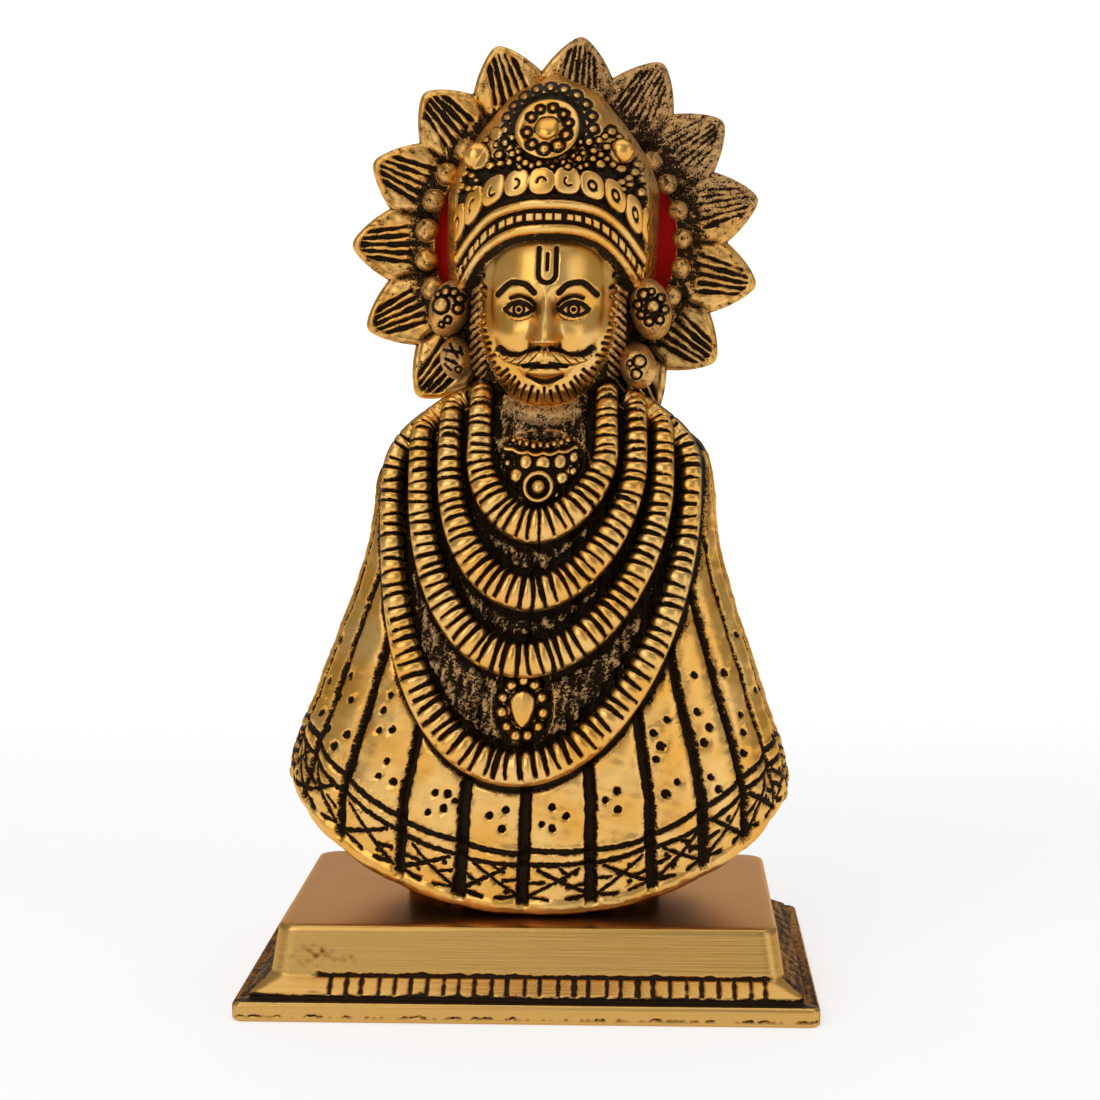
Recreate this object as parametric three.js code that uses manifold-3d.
// A small cast idol: a garlanded, crowned figure in a pleated robe, in front of a rayed halo,
// on a stepped plinth. Millimetres, +Z up, the figure faces -Y, and the origin is at the bottom
// centre of the plinth.

import * as THREE from "three";
import { mergeVertices } from "three/addons/utils/BufferGeometryUtils.js";
import Module from "manifold-3d";

const wasm = await Module();
wasm.setup();

const DEGREE = Math.PI / 180;

// The plinth: a plate, a groove, a sloped band with a row of notches, and a block.
const PLATE = { halfX: 35, halfY: 25, height: 2.4, edge: 0.3, corner: 1.2 };
const BAND = { foot: 3.2, top: 4.6, halfX: 33.4, halfY: 23.4, groove: 0.5 };
const BLOCK = { halfX: 31, halfY: 21, topHalfX: 30.1, topHalfY: 20.2, corner: 2.4, edge: 0.6 };
const PLINTH_TOP = 10.6;
const NOTCH = { count: 28, spacing: 1.9, middle: 1.3, width: 0.6, length: 2.1, depth: 0.9 };

// The whole casting leans a little to one side, by this much per millimetre of height.
const LEAN = 0.028;

// The foot that carries the figure, under the robe.
const FOOT = { halfX: 16, halfY: 8.5, height: 7, y: -0.5, sides: 20 };

// The robe. Its rows give height, half width, and how far the front and the back stand out.
const ROBE_ROWS = [
  [10.8, 32, 15.5, 9],
  [24, 32, 15.4, 9],
  [40, 26.8, 14.8, 8.6],
  [55, 21.9, 13.2, 7.4],
  [66, 20.2, 10.4, 6],
  [71.5, 14.4, 8, 5.2],
  [75, 6.5, 6.4, 4.6],
];
const ROBE_TOP = ROBE_ROWS[ROBE_ROWS.length - 1][0];
const HEM = { lowest: 10.85, radius: 44, halfWidth: 31.4, hollow: 3 };
const HEM_ROWS = [0, 1.1, 6, 7.4];
const HEM_SWELL = [-0.7, 0.2, 0.35, 0];
const ROBE_ROW_COUNT = 10;
const PLEAT = { count: 26, first: -3.4, depth: 0.9, edge: 0.14 };
const PLEAT_FADE = { from: 56, to: 70 };

// Four garlands, from the inner one out. Each row gives the middle, how far it goes left and right,
// the heights of its top, its turn and its bottom, the powers that its two halves bend by, and its
// steps. The sides run straight down to the turn, and the rest is round.
const GARLANDS = [
  [1.6, 7.4, 8.2, 73.9, 67, 57.8, 1.9, 1.7, 12],
  [0.7, 10.4, 12.4, 73.5, 66, 49.9, 2.1, 1.7, 16],
  [-0.2, 13.1, 16.6, 73.1, 64, 41.1, 2.1, 1.8, 18],
  [-0.9, 15.9, 20.6, 72.7, 62, 28.5, 2.3, 1.85, 22],
].map(([middle, left, right, top, turn, bottom, leftPower, rightPower, steps]) => {
  return { middle, left, right, top, turn, bottom, leftPower, rightPower, steps };
});
const GARLAND = { width: 3.5, height: 3.1, lift: 0.65, sides: 6, reach: 0.93 };
const LOW_GARLAND_SWELL = 0.2;

// The pendants and the necklace on the chest.
const ROUND_PENDANT = { x: -0.6, z: 63.1, radius: 1.5, thickness: 2, boss: 0.9, sides: 12 };
const DROP_PENDANT = { x: -1.4, z: 36.7, halfX: 2.9, halfZ: 3.9, thickness: 2.4, sides: 14 };
const DROP_BOSS = { halfX: 1.4, halfZ: 2.1, proud: 1 };
const NECKLACE = { halfX: 6.4, z: 68.6, drop: 1.4, radius: 0.8, sides: 5, steps: 8 };
// How deep the ornaments on the chest are set in the robe.
const SETTING = 2;

// The head, with thirds from the hairline to the chin and eyes halfway down the head.
const HEAD = { y: -3.4, z: 83, halfX: 8.2, halfY: 9.8, backY: 8, halfZ: 11.2, jawIn: 0.3 };
const FACE = { hairline: 92.8, chin: 73.2, eyeX: 3.3, eyeWidth: 3.3, mouthWidth: 5.2 };
const HAIR = { y: -0.8, z: 83, halfX: 10.6, halfY: 5.4, halfZ: 12.5 };
const BEARD = { y: -4.6, z: 76.8, halfX: 7.3, halfY: 7.9, halfZ: 5.1, proud: 0.6 };
const NECK = { radius: 6, bottom: 68, top: 78, y: -1.4, sides: 14 };

// The crown. Its rows give height, half width, and the front's distance before the back plane.
const CROWN_BACK = 3;
const CROWN_ROWS = [
  [84, 12.2, 15.8],
  [93.4, 13, 16.8],
  [98, 13, 16.9],
  [102, 11.9, 15.8],
  [105.5, 9.7, 14],
  [108.5, 7.3, 11.6],
  [111, 5, 8.8],
  [113.3, 0.4, 3.6],
];
const CROWN_FOOT = 93.3;
const CROWN_TILT = 9;
const CROWN_HOLLOW = 3;
const CROWN_COLUMNS = { front: 14, back: 4 };
// The shell's rings: height at the front, and how far each stands proud. Two ridges edge the brim.
const CROWN_RINGS = [
  [93.3, 0],
  [93.6, 0.6],
  [94.6, 0.6],
  [94.9, 0],
  [96.2, 0],
  [96.5, 0.6],
  [97.3, 0.6],
  [97.6, 0],
  [101.5, 0],
  [105, 0],
  [108.3, 0],
  [111.2, 0],
  [113.3, 0],
];
const CROWN_DISC = { count: 11, height: 99.7, spread: 62, radius: 1.65, thickness: 1.6, sides: 6 };
const CROWN_MEDALLION = { height: 106, radius: 3.8, thickness: 2.2, boss: 1.4, sides: 14 };
const CROWN_BOSSES = [
  { side: -42, height: 104.6, radius: 1.8 },
  { side: 44, height: 104.8, radius: 1.5 },
];

// The halo: a flat ring with a round opening, fluted rays and a ring of beads.
const HALO = { x: 0.35, z: 92.6, front: 2.6, back: 5, opening: 15.2, valley: 21.8, tip: 25.6 };
const RAYS = { count: 15, first: 5.7, sharpness: 1.3, fluteDepth: 0.7, rimWidth: 1.3, rimProud: 0.35 };
const RAY_COLUMNS = 6;
const BEADS = { spacing: 16, first: 44, last: 110, ring: 16.6, radius: 1.45, turn: -2, sunk: 0.3 };

// Ear ornaments: place, half size, tilt in degrees, and the front's place.
const EAR_ORNAMENTS = [
  { x: -12.5, z: 84.6, halfX: 2.6, halfZ: 3.9, tilt: 12, front: -7.4 },
  { x: -11.3, z: 78.5, halfX: 2, halfZ: 2.8, tilt: -8, front: -7.2 },
  { x: 12.5, z: 84.3, halfX: 2.7, halfZ: 4.1, tilt: -14, front: -7.4 },
  { x: 11.2, z: 77.2, halfX: 2.4, halfZ: 3.2, tilt: -24, front: -7.2 },
];
const EAR_BACK = 3.2;
const EAR_SIDES = 8;

// The velvet-covered card behind the halo's opening.
const VELVET = { radius: 17, thickness: 1, segments: 24 };

const GOLD = new THREE.MeshStandardMaterial({ color: 0xc8963c, roughness: 0.32, metalness: 1 });
const PLINTH_GOLD = new THREE.MeshStandardMaterial({ color: 0xb8893e, roughness: 0.38, metalness: 1 });
const RED_VELVET = new THREE.MeshStandardMaterial({ color: 0x8a0a12, roughness: 0.95, metalness: 0 });

// Moves each vertex of a geometry by a function of its place.
function shaped(geometry, move) {
  const places = geometry.getAttribute("position");
  const vertex = new THREE.Vector3();
  for (let i = 0; i < places.count; i += 1) {
    move(vertex.fromBufferAttribute(places, i));
    places.setXYZ(i, vertex.x, vertex.y, vertex.z);
  }
  return geometry;
}

// Makes a closed solid of a geometry. A place on the axis may be held by several vertices.
function solid(geometry) {
  const plain = geometry.clone();
  plain.deleteAttribute("normal");
  plain.deleteAttribute("uv");
  const merged = mergeVertices(plain, 1e-4);
  const vertProperties = new Float32Array(merged.getAttribute("position").array);
  const corners = merged.getIndex().array;
  const kept = [];
  for (let i = 0; i < corners.length; i += 3) {
    const [a, b, c] = [corners[i], corners[i + 1], corners[i + 2]];
    if (a !== b && b !== c && c !== a) kept.push(a, b, c);
  }
  return new wasm.Manifold(new wasm.Mesh({ numProp: 3, vertProperties, triVerts: new Uint32Array(kept) }));
}

function joined(solids) {
  return solids.reduce((whole, piece) => whole.add(piece));
}

function meshOf(name, body, material) {
  const { vertProperties, triVerts, numProp } = body.getMesh();
  const places = new Float32Array((vertProperties.length / numProp) * 3);
  for (let i = 0; i < places.length / 3; i += 1) {
    places.set(vertProperties.subarray(i * numProp, i * numProp + 3), i * 3);
  }
  const geometry = new THREE.BufferGeometry();
  geometry.setAttribute("position", new THREE.BufferAttribute(places, 3));
  geometry.setIndex(new THREE.BufferAttribute(new Uint32Array(triVerts), 1));
  geometry.computeVertexNormals();
  const mesh = new THREE.Mesh(geometry, material);
  mesh.name = name;
  return mesh;
}

// A smooth curve through rows of numbers, read at the first number of a row.
function blendOf(rows) {
  const inputs = rows.map((row) => row[0]);
  const values = rows.flatMap((row) => row.slice(1));
  const curve = new THREE.CubicInterpolant(inputs, values, rows[0].length - 1, []);
  const [lowest, highest] = [inputs[0], inputs[inputs.length - 1]];
  return (place) => Array.from(curve.evaluate(THREE.MathUtils.clamp(place, lowest, highest)));
}

// An upright closed tube of unit radius, from height 0 to 1. In shapes made of it, angle 0 is
// the front and a quarter turn is the wearer's left.
function tube(sides, rows) {
  return new THREE.CylinderGeometry(1, 1, 1, sides, rows).rotateX(Math.PI / 2).translate(0, 0, 0.5);
}

function ball(x, y, z, halfX, halfY, halfZ, columns = 8, rows = 5) {
  return new THREE.SphereGeometry(1, columns, rows)
    .rotateX(Math.PI / 2)
    .scale(halfX, halfY, halfZ)
    .translate(x, y, z);
}

// A closed tube along a route, oval across, whose flat way faces -Y, swelling as sizeAt says.
function strand(route, width, height, sides, steps, sizeAt = () => 1) {
  const place = new THREE.Vector3();
  const along = new THREE.Vector3();
  const across = new THREE.Vector3();
  const outward = new THREE.Vector3();
  const nudge = 1e-3;
  return shaped(tube(sides, steps), (vertex) => {
    const t = vertex.z;
    place.copy(route(t));
    along.copy(route(Math.min(1, t + nudge))).sub(route(Math.max(0, t - nudge))).normalize();
    across.crossVectors(along, new THREE.Vector3(0, -1, 0)).normalize();
    outward.crossVectors(along, across);
    const size = sizeAt(t);
    place.addScaledVector(across, (vertex.x * width * size) / 2);
    place.addScaledVector(outward, (vertex.y * height * size) / 2);
    vertex.copy(place);
  });
}

// A shield that faces -Y. It is widest a little behind its front and narrows to its back.
function plaque(x, z, halfX, halfZ, front, back, sides, tilt = 0) {
  const sizes = [0.8, 1, 0.6];
  const places = [front, Math.min(front + 1.2, back - 0.1), back];
  const shield = shaped(new THREE.CylinderGeometry(1, 1, 2, sides, 2), (vertex) => {
    const row = Math.round(vertex.y) + 1;
    vertex.set(vertex.x * halfX * sizes[row], places[row], vertex.z * halfZ * sizes[row]);
  });
  return shield.rotateY(tilt * DEGREE).translate(x, 0, z);
}

const robeAt = blendOf(ROBE_ROWS);

function hemHeight(x) {
  return HEM.lowest + HEM.radius - Math.sqrt(HEM.radius ** 2 - x ** 2);
}

// How far before the middle plane the robe's front stands, away from its pleats.
function robeFront(x, z) {
  const [halfWidth, front] = robeAt(z);
  return front * Math.sqrt(Math.max(0, 1 - (x / halfWidth) ** 2));
}

// The robe's columns round it, each with its angle and whether it runs down a groove. A pleat in
// front has a groove and the two edges of its panel, and the plain back has one column to each.
function robeColumns() {
  const step = 360 / PLEAT.count;
  const columns = [];
  for (let pleat = 0; pleat < PLEAT.count; pleat += 1) {
    const angle = (PLEAT.first + pleat * step) * DEGREE;
    const isFront = Math.cos(angle) > 0;
    columns.push({ angle, grooved: isFront });
    if (Math.cos(angle + step * DEGREE) <= 0 && !isFront) continue;
    columns.push({ angle: angle + PLEAT.edge * step * DEGREE, grooved: false });
    columns.push({ angle: angle + (1 - PLEAT.edge) * step * DEGREE, grooved: false });
  }
  return columns;
}

// The ground inside the lowest garland is plain: the pleats end where they meet it.
function insideLowGarland(x, z) {
  const { middle, left, right, turn, bottom } = GARLANDS[GARLANDS.length - 1];
  const across = (x - middle) / (x < middle ? left : right);
  if (Math.abs(across) >= 1) return false;
  return z > turn - (turn - bottom) * Math.sqrt(1 - across ** 2);
}

function pleatDepth(x, z) {
  if (insideLowGarland(x, z)) return 0;
  return PLEAT.depth * (1 - THREE.MathUtils.smoothstep(z, PLEAT_FADE.from, PLEAT_FADE.to));
}

function robeHeight(row, hem) {
  if (row < HEM_ROWS.length) return hem + HEM_ROWS[row];
  const first = HEM_ROWS[HEM_ROWS.length - 1];
  const step = (row - HEM_ROWS.length + 1) / (ROBE_ROW_COUNT - HEM_ROWS.length + 1);
  const rise = Math.sin(step * 90 * DEGREE);
  return THREE.MathUtils.lerp(hem + first, ROBE_TOP, rise);
}

function robe() {
  const columns = robeColumns();
  return shaped(tube(columns.length, ROBE_ROW_COUNT), (vertex) => {
    const row = Math.round(vertex.z * ROBE_ROW_COUNT);
    const isCentre = Math.hypot(vertex.x, vertex.y) < 0.5;
    if (isCentre) {
      vertex.set(0, 0, row === 0 ? HEM.lowest + HEM.hollow : ROBE_TOP);
      return;
    }
    const turn = Math.atan2(vertex.x, -vertex.y) / (2 * Math.PI);
    const { angle, grooved } = columns[Math.round((turn + 1) * columns.length) % columns.length];
    const height = robeHeight(row, hemHeight(HEM.halfWidth * Math.sin(angle)));
    const [halfWidth, front, back] = robeAt(height);
    const depth = grooved ? pleatDepth(halfWidth * Math.sin(angle), height) : 0;
    const proud = (HEM_SWELL[row] ?? 0) - depth;
    vertex.x = (halfWidth + proud) * Math.sin(angle);
    vertex.y = -((Math.cos(angle) > 0 ? front : back) + proud) * Math.cos(angle);
    vertex.z = height;
  });
}

// The route of a garland from the figure's right shoulder, round the bottom, to the left one. It
// lies on the robe, and near its ends it closes in with the shoulders.
function garlandRoute({ middle, left, right, top, turn, bottom, leftPower, rightPower }) {
  const straight = top - turn;
  const bend = ((left + right) / 2 + turn - bottom) * 0.8;
  const length = 2 * (straight + bend);
  return (t) => {
    const travelled = t * length;
    const fromEnd = Math.min(travelled, length - travelled);
    const [sign, halfWidth, power] = t < 0.5 ? [-1, left, leftPower] : [1, right, rightPower];
    const angle = (Math.max(0, fromEnd - straight) / bend) * 90 * DEGREE;
    const bent = turn - (turn - bottom) * Math.sin(angle) ** (2 / power);
    const z = angle > 0 ? bent : top - fromEnd;
    const side = Math.max(0, Math.cos(angle)) ** (2 / power);
    const most = GARLAND.reach * robeAt(z)[0];
    const x = THREE.MathUtils.clamp(middle + sign * halfWidth * side, -most, most);
    return new THREE.Vector3(x, -robeFront(x, z) - GARLAND.lift, z);
  };
}

function garlands() {
  const { width, height, sides } = GARLAND;
  return GARLANDS.map((garland, i) => {
    const swell = i === GARLANDS.length - 1 ? LOW_GARLAND_SWELL : 0;
    const sizeAt = (t) => 1 + swell * Math.sin(t * Math.PI) ** 4;
    return strand(garlandRoute(garland), width, height, sides, garland.steps, sizeAt);
  });
}

function chestOrnaments() {
  const { radius, boss } = ROUND_PENDANT;
  const roundY = -robeFront(ROUND_PENDANT.x, ROUND_PENDANT.z);
  const roundFront = roundY - ROUND_PENDANT.thickness / 2;
  const roundPlace = [ROUND_PENDANT.x, ROUND_PENDANT.z];
  const drop = DROP_PENDANT;
  const dropY = -robeFront(drop.x, drop.z);
  const dropFront = dropY - drop.thickness / 2;
  const thick = 2 * NECKLACE.radius;
  const necklace = (t) => {
    const x = (2 * t - 1) * NECKLACE.halfX;
    const z = NECKLACE.z - NECKLACE.drop * (1 - (2 * t - 1) ** 2);
    return new THREE.Vector3(x, -robeFront(x, z) - NECKLACE.radius / 2, z);
  };
  return [
    plaque(...roundPlace, radius, radius, roundFront, roundY + SETTING, ROUND_PENDANT.sides),
    ball(ROUND_PENDANT.x, roundFront, ROUND_PENDANT.z, boss, boss, boss, 6, 4),
    plaque(drop.x, drop.z, drop.halfX, drop.halfZ, dropFront, dropY + SETTING, drop.sides),
    ball(drop.x, dropFront, drop.z, DROP_BOSS.halfX, DROP_BOSS.proud, DROP_BOSS.halfZ),
    strand(necklace, thick, thick, NECKLACE.sides, NECKLACE.steps),
  ];
}

// A head shape: an egg that narrows to the jaw.
function headShape() {
  return shaped(new THREE.SphereGeometry(1, 18, 12).rotateX(Math.PI / 2), (vertex) => {
    const below = Math.max(0, -vertex.z);
    const narrow = 1 - HEAD.jawIn * below ** 2;
    vertex.set(
      vertex.x * HEAD.halfX * narrow,
      HEAD.y + vertex.y * (vertex.y < 0 ? HEAD.halfY : HEAD.backY),
      HEAD.z + vertex.z * HEAD.halfZ,
    );
  });
}

// How far forward the bare face is at a place.
function faceFront(x, z) {
  const up = (z - HEAD.z) / HEAD.halfZ;
  const below = Math.max(0, -up);
  const across = x / (HEAD.halfX * (1 - HEAD.jawIn * below ** 2));
  return HEAD.y - HEAD.halfY * Math.sqrt(Math.max(0, 1 - up ** 2 - across ** 2));
}

function onFace(x, z, proud = 0) {
  return new THREE.Vector3(x, faceFront(x, z) - proud, z);
}

// A tapered strand laid on the face, from one place to another by way of a middle one.
function faceStrand(from, middle, to, width, proud) {
  const places = [from, middle, to].map(([x, z]) => onFace(x, z, proud));
  const curve = new THREE.QuadraticBezierCurve3(...places);
  const taper = (t) => 0.35 + 0.65 * Math.sin(Math.min(1, 0.25 + t) * Math.PI);
  return strand((t) => curve.getPoint(t), width, width, 4, 4, taper);
}

function faceFeatures() {
  const third = (FACE.hairline - FACE.chin) / 3;
  const brow = FACE.hairline - third;
  const noseFoot = brow - third;
  const eye = brow - third * 0.3;
  const mouth = noseFoot - third / 3;
  const nose = new THREE.LineCurve3(onFace(0, brow - 1, -0.6), onFace(0, noseFoot + 1.2, 0.9));
  const halfMouth = FACE.mouthWidth / 2;
  const lipY = faceFront(0, mouth) - BEARD.proud;
  const features = [
    strand((t) => nose.getPoint(t), 2.6, 2.6, 6, 4, (t) => 0.55 + 0.45 * t),
    ball(0, faceFront(0, noseFoot + 1.1) - 0.9, noseFoot + 1.1, 1.3, 1.3, 1.1),
    ball(0, lipY, mouth - 0.7, halfMouth * 0.75, 0.9, 0.7),
    ball(0, lipY, mouth + 0.5, halfMouth, 0.7, 0.5),
  ];
  for (const side of [-1, 1]) {
    const eyeX = side * FACE.eyeX;
    const browInner = [side * 1.4, brow - 0.2];
    const browOuter = [side * 5.9, brow - 0.4];
    const lipMiddle = [side * 0.3, noseFoot - 0.9];
    const lipOuter = [side * 5.3, noseFoot - 0.7];
    features.push(
      ball(eyeX, faceFront(eyeX, eye) + 0.3, eye, FACE.eyeWidth / 2, 1, 0.85),
      faceStrand(browInner, [side * 3.8, brow + 1.3], browOuter, 0.8, 0),
      faceStrand(lipMiddle, [side * 2.8, noseFoot - 2.6], lipOuter, 1.8, BEARD.proud),
    );
  }
  return features;
}

function head() {
  return [
    headShape(),
    ball(0, HAIR.y, HAIR.z, HAIR.halfX, HAIR.halfY, HAIR.halfZ, 12, 8),
    ball(0, BEARD.y, BEARD.z, BEARD.halfX, BEARD.halfY, BEARD.halfZ, 14, 8),
    shaped(tube(NECK.sides, 1), (vertex) => {
      vertex.set(
        vertex.x * NECK.radius,
        vertex.y * NECK.radius + NECK.y,
        THREE.MathUtils.lerp(NECK.bottom, NECK.top, vertex.z),
      );
    }),
    ...faceFeatures(),
  ];
}

const crownAt = blendOf(CROWN_ROWS);
const CROWN_TOP = CROWN_ROWS[CROWN_ROWS.length - 1][0];

// A place on the crown's front: an angle from the front, and the height of the ring that runs
// through it, measured at the front. The rings dip towards the sides, less so near the top.
function onCrown(angle, ringHeight, proud = 0) {
  const rise = (ringHeight - CROWN_FOOT) / (CROWN_TOP - CROWN_FOOT);
  const facing = Math.max(0, Math.cos(angle));
  const z = ringHeight - CROWN_TILT * (1 - rise) * (1 - facing);
  const [halfWidth, depth] = crownAt(z);
  return new THREE.Vector3(
    (halfWidth + proud) * Math.sin(angle),
    CROWN_BACK - (depth + proud) * facing,
    z,
  );
}

// The angle of one of the shell's columns. The front half has more of them than the flat back.
function crownAngle(column) {
  const { front, back } = CROWN_COLUMNS;
  if (column <= front) return (column / front - 0.5) * Math.PI;
  return (0.5 + (column - front) / back) * Math.PI;
}

function crownShell() {
  const rings = CROWN_RINGS.length - 1;
  const columns = CROWN_COLUMNS.front + CROWN_COLUMNS.back;
  return shaped(tube(columns, rings), (vertex) => {
    const ring = Math.round(vertex.z * rings);
    if (Math.hypot(vertex.x, vertex.y) < 0.5) {
      vertex.set(0, 0, ring === 0 ? CROWN_FOOT - CROWN_HOLLOW : CROWN_TOP);
      return;
    }
    const turn = Math.atan2(vertex.x, -vertex.y) / (2 * Math.PI);
    const column = Math.round((turn + 1) * columns) % columns;
    const [height, proud] = CROWN_RINGS[ring];
    vertex.copy(onCrown(crownAngle(column), height, proud));
  });
}

// A disc or a ball set on the crown at an angle and a ring height, facing straight out of it.
function crownStud(geometry, angle, height) {
  const turn = angle * DEGREE;
  const place = onCrown(turn, height);
  const uphill = onCrown(turn, height + 0.5).sub(onCrown(turn, height - 0.5));
  const inward = uphill.y * Math.cos(turn) - uphill.x * Math.sin(turn);
  return geometry
    .rotateX(-Math.atan2(inward, uphill.z))
    .rotateZ(turn)
    .translate(place.x, place.y, place.z);
}

function disc(radius, thickness, sides) {
  return new THREE.CylinderGeometry(radius, radius * 0.9, thickness, sides, 1);
}

function crown() {
  const pieces = [crownShell()];
  const { count, height: discHeight, spread, radius: discRadius, thickness, sides } = CROWN_DISC;
  for (let i = 0; i < count; i += 1) {
    const angle = ((2 * i) / (count - 1) - 1) * spread;
    pieces.push(crownStud(disc(discRadius, thickness, sides), angle, discHeight));
  }
  const medallion = CROWN_MEDALLION;
  const { boss } = medallion;
  const plate = disc(medallion.radius, medallion.thickness, medallion.sides);
  pieces.push(crownStud(plate, 0, medallion.height));
  pieces.push(crownStud(ball(0, -medallion.thickness / 2, 0, boss, boss, boss), 0, medallion.height));
  for (const { side, height, radius } of CROWN_BOSSES) {
    pieces.push(crownStud(ball(0, 0, 0, radius, radius, radius), side, height));
  }
  return pieces;
}

// The halo's outline: how far a ray reaches at a turn from its own middle, from -1 to 1.
function rayReach(off) {
  return HALO.valley + (HALO.tip - HALO.valley) * (1 - Math.abs(off) ** RAYS.sharpness);
}

function haloRing() {
  const profile = [
    [HALO.opening, HALO.back],
    [HALO.opening, HALO.front],
    [HALO.valley - RAYS.rimWidth, HALO.front],
    [HALO.valley, HALO.front],
    [HALO.valley, HALO.back],
    [HALO.opening, HALO.back],
  ].map(([radius, y]) => new THREE.Vector2(radius, y));
  const columns = RAYS.count * RAY_COLUMNS;
  return shaped(new THREE.LatheGeometry(profile, columns), (vertex) => {
    const radius = Math.hypot(vertex.x, vertex.z);
    const turn = (Math.atan2(vertex.x, vertex.z) / (2 * Math.PI)) * columns;
    const column = (Math.round(turn) + columns) % columns;
    const step = column % RAY_COLUMNS;
    const off = (2 * step) / RAY_COLUMNS - 1;
    const angle = ((column - RAY_COLUMNS / 2) / columns) * 2 * Math.PI + RAYS.first * DEGREE;
    const onOpening = radius < HALO.opening + RAYS.rimWidth;
    const reach = onOpening ? radius : radius + rayReach(off) - HALO.valley;
    const isFront = vertex.y < (HALO.front + HALO.back) / 2;
    const onRim = radius > HALO.valley - RAYS.rimWidth / 2;
    const fluted = isFront && !onRim && !onOpening && step % 2 === 1;
    const rounded = isFront && onRim ? RAYS.rimProud : 0;
    const depth = vertex.y + rounded + (fluted ? RAYS.fluteDepth : 0);
    vertex.set(HALO.x + reach * Math.sin(angle), depth, HALO.z + reach * Math.cos(angle));
  });
}

function haloBeads() {
  const beads = [];
  for (let angle = BEADS.first; angle <= BEADS.last; angle += BEADS.spacing) {
    for (const side of [-1, 1]) {
      const turn = (side * angle + BEADS.turn) * DEGREE;
      const x = HALO.x + BEADS.ring * Math.sin(turn);
      const z = HALO.z + BEADS.ring * Math.cos(turn);
      beads.push(ball(x, HALO.front - BEADS.sunk, z, BEADS.radius, BEADS.radius, BEADS.radius, 6, 3));
    }
  }
  return beads;
}

function earOrnaments() {
  return EAR_ORNAMENTS.map(({ x, z, halfX, halfZ, tilt, front }) =>
    plaque(x, z, halfX, halfZ, front, EAR_BACK, EAR_SIDES, tilt),
  );
}

function foot() {
  return shaped(tube(FOOT.sides, 1), (vertex) => {
    vertex.x *= FOOT.halfX;
    vertex.y = FOOT.y + vertex.y * FOOT.halfY;
    vertex.z = PLINTH_TOP + vertex.z * FOOT.height;
  });
}

function figure() {
  const shapes = [
    robe(),
    foot(),
    ...garlands(),
    ...chestOrnaments(),
    ...head(),
    ...crown(),
    haloRing(),
    ...haloBeads(),
    ...earOrnaments(),
  ];
  const leaned = shapes.map((shape) =>
    shaped(shape, (vertex) => {
      vertex.x += LEAN * (vertex.z - PLINTH_TOP);
    }),
  );
  return meshOf("figure", joined(leaned.map(solid)), GOLD);
}

// A stack of rounded rectangles. Each row is height, half width, half depth and corner radius.
function rectangularStack(rows) {
  const cornerSteps = 3;
  const perCorner = cornerSteps + 1;
  const columns = 4 * perCorner;
  const levels = rows.length - 1;
  return shaped(tube(columns, levels), (vertex) => {
    const [z, halfX, halfY, radius] = rows[Math.round(vertex.z * levels)];
    if (Math.hypot(vertex.x, vertex.y) < 0.5) {
      vertex.set(0, 0, z);
      return;
    }
    const turn = Math.atan2(vertex.y, vertex.x) / (2 * Math.PI);
    const column = Math.round(turn * columns + columns) % columns;
    const corner = Math.floor(column / perCorner);
    const angle = (corner + (column % perCorner) / cornerSteps) * 90 * DEGREE;
    const signX = corner === 0 || corner === 3 ? 1 : -1;
    const signY = corner < 2 ? 1 : -1;
    vertex.x = signX * (halfX - radius) + radius * Math.cos(angle);
    vertex.y = signY * (halfY - radius) + radius * Math.sin(angle);
    vertex.z = z;
  });
}

function notch(x) {
  const rise = BAND.top - BAND.foot;
  const run = BAND.halfY - BLOCK.halfY;
  return new THREE.BoxGeometry(NOTCH.width, NOTCH.length, NOTCH.depth)
    .rotateX(Math.atan2(rise, run))
    .translate(x, -(BAND.halfY + BLOCK.halfY) / 2, (BAND.foot + BAND.top) / 2);
}

function plinth() {
  const { halfX, halfY, height, edge, corner } = PLATE;
  const body = solid(
    rectangularStack([
      [0, halfX - edge, halfY - edge, corner],
      [edge, halfX, halfY, corner],
      [height - edge, halfX, halfY, corner],
      [height, halfX - edge, halfY - edge, corner],
      [height, BAND.halfX - BAND.groove, BAND.halfY - BAND.groove, corner],
      [BAND.foot, BAND.halfX, BAND.halfY, corner],
      [BAND.top, BLOCK.halfX, BLOCK.halfY, BLOCK.corner],
      [PLINTH_TOP - BLOCK.edge, BLOCK.topHalfX, BLOCK.topHalfY, BLOCK.corner],
      [PLINTH_TOP, BLOCK.topHalfX - BLOCK.edge, BLOCK.topHalfY - BLOCK.edge, BLOCK.corner],
    ]),
  );
  const notches = [];
  for (let i = 0; i < NOTCH.count; i += 1) {
    notches.push(solid(notch(NOTCH.middle + (i - (NOTCH.count - 1) / 2) * NOTCH.spacing)));
  }
  return meshOf("plinth", body.subtract(joined(notches)), PLINTH_GOLD);
}

function velvetBacking() {
  const { radius, thickness, segments } = VELVET;
  const x = HALO.x + LEAN * (HALO.z - PLINTH_TOP);
  const card = new THREE.CylinderGeometry(radius, radius, thickness, segments, 1)
    .translate(x, HALO.back + thickness / 2, HALO.z);
  return meshOf("velvet_backing", solid(card), RED_VELVET);
}

const idol = new THREE.Group();
idol.add(plinth(), figure(), velvetBacking());

export default idol;
